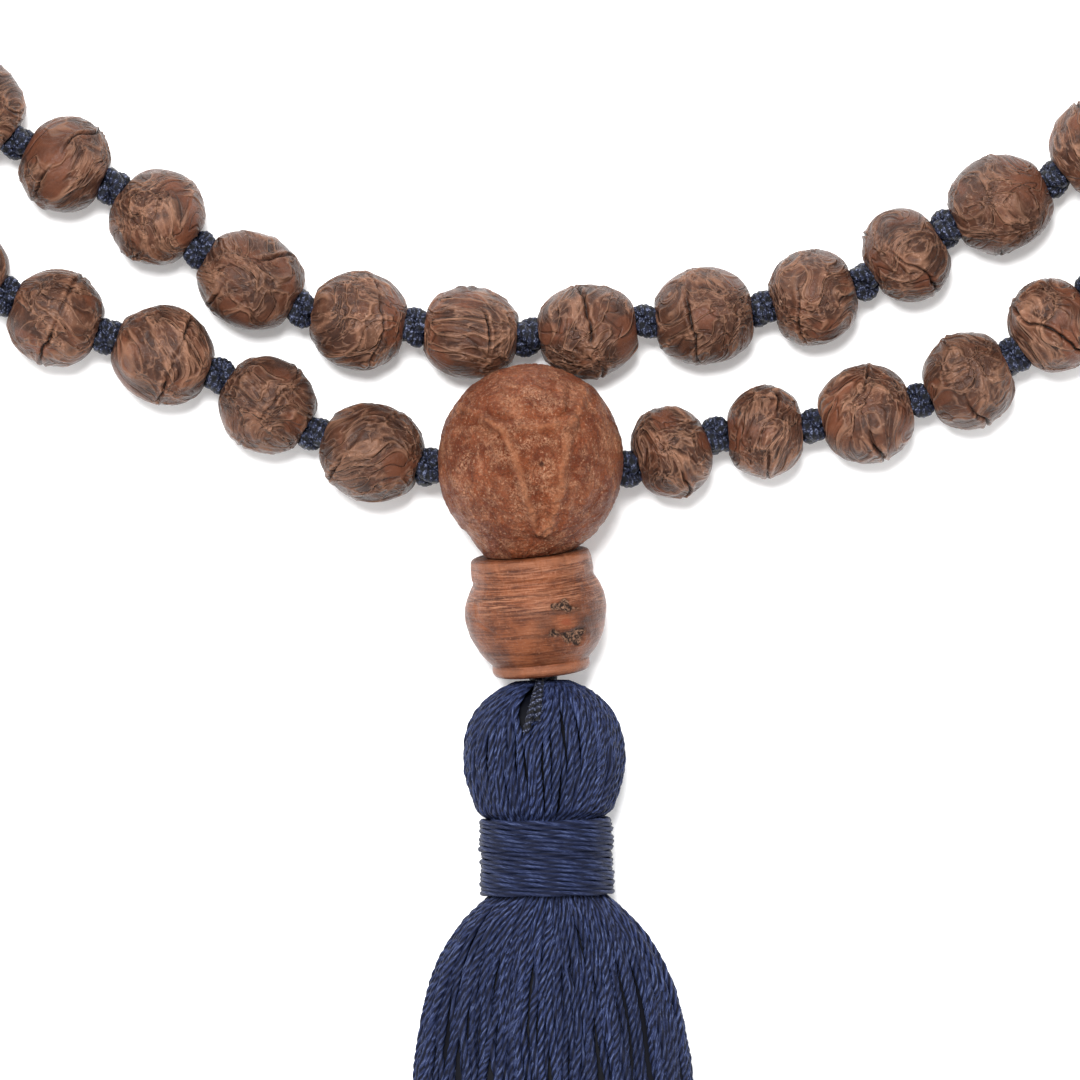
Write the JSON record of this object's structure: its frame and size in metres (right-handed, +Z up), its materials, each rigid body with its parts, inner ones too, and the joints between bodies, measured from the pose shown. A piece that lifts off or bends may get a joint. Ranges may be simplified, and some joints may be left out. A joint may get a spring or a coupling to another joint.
{
  "type": "mala prayer beads",
  "caption": "Long loop of wrinkled brown seed beads on knotted navy cord, with a large round guru bead, a turned wooden barrel bead and a navy cotton tassel, laid flat as a doubled strand.",
  "frame": {"origin": "on the table, right under the centre of the guru bead", "axes": "+Z up from the table, +Y from the guru bead into the loop, along its longer side, +X across the loop, and the tassel points along -Y"},
  "size_m": [0.2198, 0.3281, 0.017],
  "materials": {
    "seed": "satin",
    "guru_seed": "satin",
    "turned_wood": "satin",
    "knotted_cord": "waxed braid",
    "tassel_yarn": "mercerised cotton"
  },
  "bodies": {
    "strand": {"string": "knotted_cord", "guru_bead": "guru_seed", "guru_core_knot": "knotted_cord", "hanger_cord": "knotted_cord", "beads_010_to_027": "seed", "beads_028_to_045": "seed", "beads_064_to_081": "seed", "beads_082_to_099": "seed", "knots_001_to_012": "knotted_cord", "knots_013_to_024": "knotted_cord", "knots_025_to_036": "knotted_cord", "knots_037_to_048": "knotted_cord", "knots_049_to_061": "knotted_cord", "knots_062_to_073": "knotted_cord", "knots_074_to_085": "knotted_cord", "knots_086_to_097": "knotted_cord", "knots_098_to_109": "knotted_cord"},
    "barrel": {"barrel_bead": "turned_wood"},
    "hanger_knot": {"hanger_knot": "knotted_cord"},
    "tassel": {"tassel_tie": "tassel_yarn", "tassel_head": "tassel_yarn", "tassel_neck": "tassel_yarn", "tassel_wrap": "tassel_yarn", "tassel_skirt": "tassel_yarn"},
    "bead_001": {"bead_001": "seed"},
    "bead_002": {"bead_002": "seed"},
    "bead_003": {"bead_003": "seed"},
    "bead_004": {"bead_004": "seed"},
    "bead_005": {"bead_005": "seed"},
    "bead_006": {"bead_006": "seed"},
    "bead_007": {"bead_007": "seed"},
    "bead_008": {"bead_008": "seed"},
    "bead_009": {"bead_009": "seed"},
    "bead_046": {"bead_046": "seed"},
    "bead_047": {"bead_047": "seed"},
    "bead_048": {"bead_048": "seed"},
    "bead_049": {"bead_049": "seed"},
    "bead_050": {"bead_050": "seed"},
    "bead_051": {"bead_051": "seed"},
    "bead_052": {"bead_052": "seed"},
    "bead_053": {"bead_053": "seed"},
    "bead_054": {"bead_054": "seed"},
    "bead_055": {"bead_055": "seed"},
    "bead_056": {"bead_056": "seed"},
    "bead_057": {"bead_057": "seed"},
    "bead_058": {"bead_058": "seed"},
    "bead_059": {"bead_059": "seed"},
    "bead_060": {"bead_060": "seed"},
    "bead_061": {"bead_061": "seed"},
    "bead_062": {"bead_062": "seed"},
    "bead_063": {"bead_063": "seed"},
    "bead_100": {"bead_100": "seed"},
    "bead_101": {"bead_101": "seed"},
    "bead_102": {"bead_102": "seed"},
    "bead_103": {"bead_103": "seed"},
    "bead_104": {"bead_104": "seed"},
    "bead_105": {"bead_105": "seed"},
    "bead_106": {"bead_106": "seed"},
    "bead_107": {"bead_107": "seed"},
    "bead_108": {"bead_108": "seed"}
  },
  "joints": [
    {"name": "hanger_swing", "type": "hinge", "parent": "strand", "child": "hanger_knot", "pos_m": [0.00113, -0.02004, 0.0065], "axis": [0, 0, 1], "range_deg": [-14, 22]},
    {"name": "hanger_lift", "type": "hinge", "parent": "hanger_knot", "child": "tassel", "pos_m": [0.00113, -0.02004, 0.0065], "axis": [-0.9997, -0.0227, 0], "range_deg": [0, 15]},
    {"name": "barrel_turn", "type": "hinge", "parent": "strand", "child": "barrel", "pos_m": [0, -0.00876, 0.00763], "axis": [0.0988, -0.9902, -0.099], "continuous": true},
    {"name": "turn_bead_001", "type": "hinge", "parent": "strand", "child": "bead_001", "pos_m": [-0.01457, 0.00049, 0.00521], "axis": [-0.9508, 0.297, -0.0886], "continuous": true},
    {"name": "turn_bead_054", "type": "hinge", "parent": "strand", "child": "bead_054", "pos_m": [-0.00543, 0.01145, 0.00468], "axis": [0.997, -0.078, 0], "continuous": true},
    {"name": "turn_bead_055", "type": "hinge", "parent": "strand", "child": "bead_055", "pos_m": [0.00523, 0.01171, 0.00468], "axis": [0.9924, 0.1233, 0], "continuous": true},
    {"name": "turn_bead_108", "type": "hinge", "parent": "strand", "child": "bead_108", "pos_m": [0.01296, 0.00057, 0.0052], "axis": [-0.9354, -0.3365, 0.1086], "continuous": true},
    {"name": "turn_bead_002", "type": "hinge", "parent": "strand", "child": "bead_002", "pos_m": [-0.02418, 0.00485, 0.0047], "axis": [-0.8602, 0.5099, -0.0086], "continuous": true},
    {"name": "turn_bead_053", "type": "hinge", "parent": "strand", "child": "bead_053", "pos_m": [-0.01581, 0.01261, 0.00468], "axis": [0.9872, -0.1597, 0], "continuous": true},
    {"name": "turn_bead_056", "type": "hinge", "parent": "strand", "child": "bead_056", "pos_m": [0.016, 0.013, 0.00468], "axis": [0.9945, 0.1043, 0], "continuous": true},
    {"name": "turn_bead_107", "type": "hinge", "parent": "strand", "child": "bead_107", "pos_m": [0.02156, 0.0024, 0.0047], "axis": [-0.9969, -0.0776, 0.009], "continuous": true},
    {"name": "turn_bead_003", "type": "hinge", "parent": "strand", "child": "bead_003", "pos_m": [-0.03363, 0.00943, 0.00468], "axis": [-0.9368, 0.3498, 0], "continuous": true},
    {"name": "turn_bead_052", "type": "hinge", "parent": "strand", "child": "bead_052", "pos_m": [-0.02572, 0.0162, 0.00468], "axis": [0.8655, -0.5009, 0], "continuous": true},
    {"name": "turn_bead_057", "type": "hinge", "parent": "strand", "child": "bead_057", "pos_m": [0.02601, 0.01477, 0.00468], "axis": [0.9622, 0.2725, 0], "continuous": true},
    {"name": "turn_bead_106", "type": "hinge", "parent": "strand", "child": "bead_106", "pos_m": [0.0309, 0.00394, 0.00468], "axis": [-0.967, -0.2548, 0], "continuous": true},
    {"name": "turn_bead_004", "type": "hinge", "parent": "strand", "child": "bead_004", "pos_m": [-0.04348, 0.01292, 0.00468], "axis": [-0.9391, 0.3436, 0], "continuous": true},
    {"name": "turn_bead_051", "type": "hinge", "parent": "strand", "child": "bead_051", "pos_m": [-0.03428, 0.02209, 0.00468], "axis": [0.7991, -0.6012, 0], "continuous": true},
    {"name": "turn_bead_058", "type": "hinge", "parent": "strand", "child": "bead_058", "pos_m": [0.03444, 0.01857, 0.00468], "axis": [0.8441, 0.5361, 0], "continuous": true},
    {"name": "turn_bead_105", "type": "hinge", "parent": "strand", "child": "bead_105", "pos_m": [0.04019, 0.00712, 0.00468], "axis": [-0.9142, -0.4052, 0], "continuous": true},
    {"name": "turn_bead_005", "type": "hinge", "parent": "strand", "child": "bead_005", "pos_m": [-0.05232, 0.0175, 0.00468], "axis": [-0.8192, 0.5736, 0], "continuous": true},
    {"name": "turn_bead_050", "type": "hinge", "parent": "strand", "child": "bead_050", "pos_m": [-0.04264, 0.02693, 0.00468], "axis": [0.9119, -0.4104, 0], "continuous": true},
    {"name": "turn_bead_059", "type": "hinge", "parent": "strand", "child": "bead_059", "pos_m": [0.04316, 0.02327, 0.00468], "axis": [0.9105, 0.4135, 0], "continuous": true},
    {"name": "turn_bead_104", "type": "hinge", "parent": "strand", "child": "bead_104", "pos_m": [0.04809, 0.01218, 0.00468], "axis": [-0.7643, -0.6449, 0], "continuous": true},
    {"name": "turn_bead_006", "type": "hinge", "parent": "strand", "child": "bead_006", "pos_m": [-0.06005, 0.02365, 0.00468], "axis": [-0.7463, 0.6657, 0], "continuous": true},
    {"name": "turn_bead_049", "type": "hinge", "parent": "strand", "child": "bead_049", "pos_m": [-0.05096, 0.03206, 0.00468], "axis": [0.7713, -0.6364, 0], "continuous": true},
    {"name": "turn_bead_060", "type": "hinge", "parent": "strand", "child": "bead_060", "pos_m": [0.05209, 0.02864, 0.00468], "axis": [0.7726, 0.6349, 0], "continuous": true},
    {"name": "turn_bead_103", "type": "hinge", "parent": "strand", "child": "bead_103", "pos_m": [0.05568, 0.01816, 0.00468], "axis": [-0.8093, -0.5874, 0], "continuous": true},
    {"name": "turn_bead_007", "type": "hinge", "parent": "strand", "child": "bead_007", "pos_m": [-0.06732, 0.03059, 0.00468], "axis": [-0.7018, 0.7124, 0], "continuous": true},
    {"name": "turn_bead_048", "type": "hinge", "parent": "strand", "child": "bead_048", "pos_m": [-0.05786, 0.0392, 0.00468], "axis": [0.6023, -0.7983, 0], "continuous": true},
    {"name": "turn_bead_061", "type": "hinge", "parent": "strand", "child": "bead_061", "pos_m": [0.05901, 0.03609, 0.00468], "axis": [0.5676, 0.8233, 0], "continuous": true},
    {"name": "turn_bead_102", "type": "hinge", "parent": "strand", "child": "bead_102", "pos_m": [0.06352, 0.02438, 0.00468], "axis": [-0.7419, -0.6705, 0], "continuous": true},
    {"name": "turn_bead_008", "type": "hinge", "parent": "strand", "child": "bead_008", "pos_m": [-0.07401, 0.03832, 0.00468], "axis": [-0.6, 0.8, 0], "continuous": true},
    {"name": "turn_bead_047", "type": "hinge", "parent": "strand", "child": "bead_047", "pos_m": [-0.06305, 0.04777, 0.00468], "axis": [0.4187, -0.9081, 0], "continuous": true},
    {"name": "turn_bead_062", "type": "hinge", "parent": "strand", "child": "bead_062", "pos_m": [0.06392, 0.04483, 0.00468], "axis": [0.4174, 0.9087, 0], "continuous": true},
    {"name": "turn_bead_101", "type": "hinge", "parent": "strand", "child": "bead_101", "pos_m": [0.07077, 0.03166, 0.00468], "axis": [-0.675, -0.7378, 0], "continuous": true},
    {"name": "turn_bead_009", "type": "hinge", "parent": "strand", "child": "bead_009", "pos_m": [-0.07957, 0.04665, 0.00468], "axis": [-0.5245, 0.8514, 0], "continuous": true},
    {"name": "turn_bead_046", "type": "hinge", "parent": "strand", "child": "bead_046", "pos_m": [-0.0662, 0.05742, 0.00468], "axis": [0.2311, -0.9729, 0], "continuous": true},
    {"name": "turn_bead_063", "type": "hinge", "parent": "strand", "child": "bead_063", "pos_m": [0.06716, 0.05433, 0.00468], "axis": [0.2324, 0.9726, 0], "continuous": true},
    {"name": "turn_bead_100", "type": "hinge", "parent": "strand", "child": "bead_100", "pos_m": [0.07713, 0.0396, 0.00468], "axis": [-0.5681, -0.823, 0], "continuous": true}
  ]
}
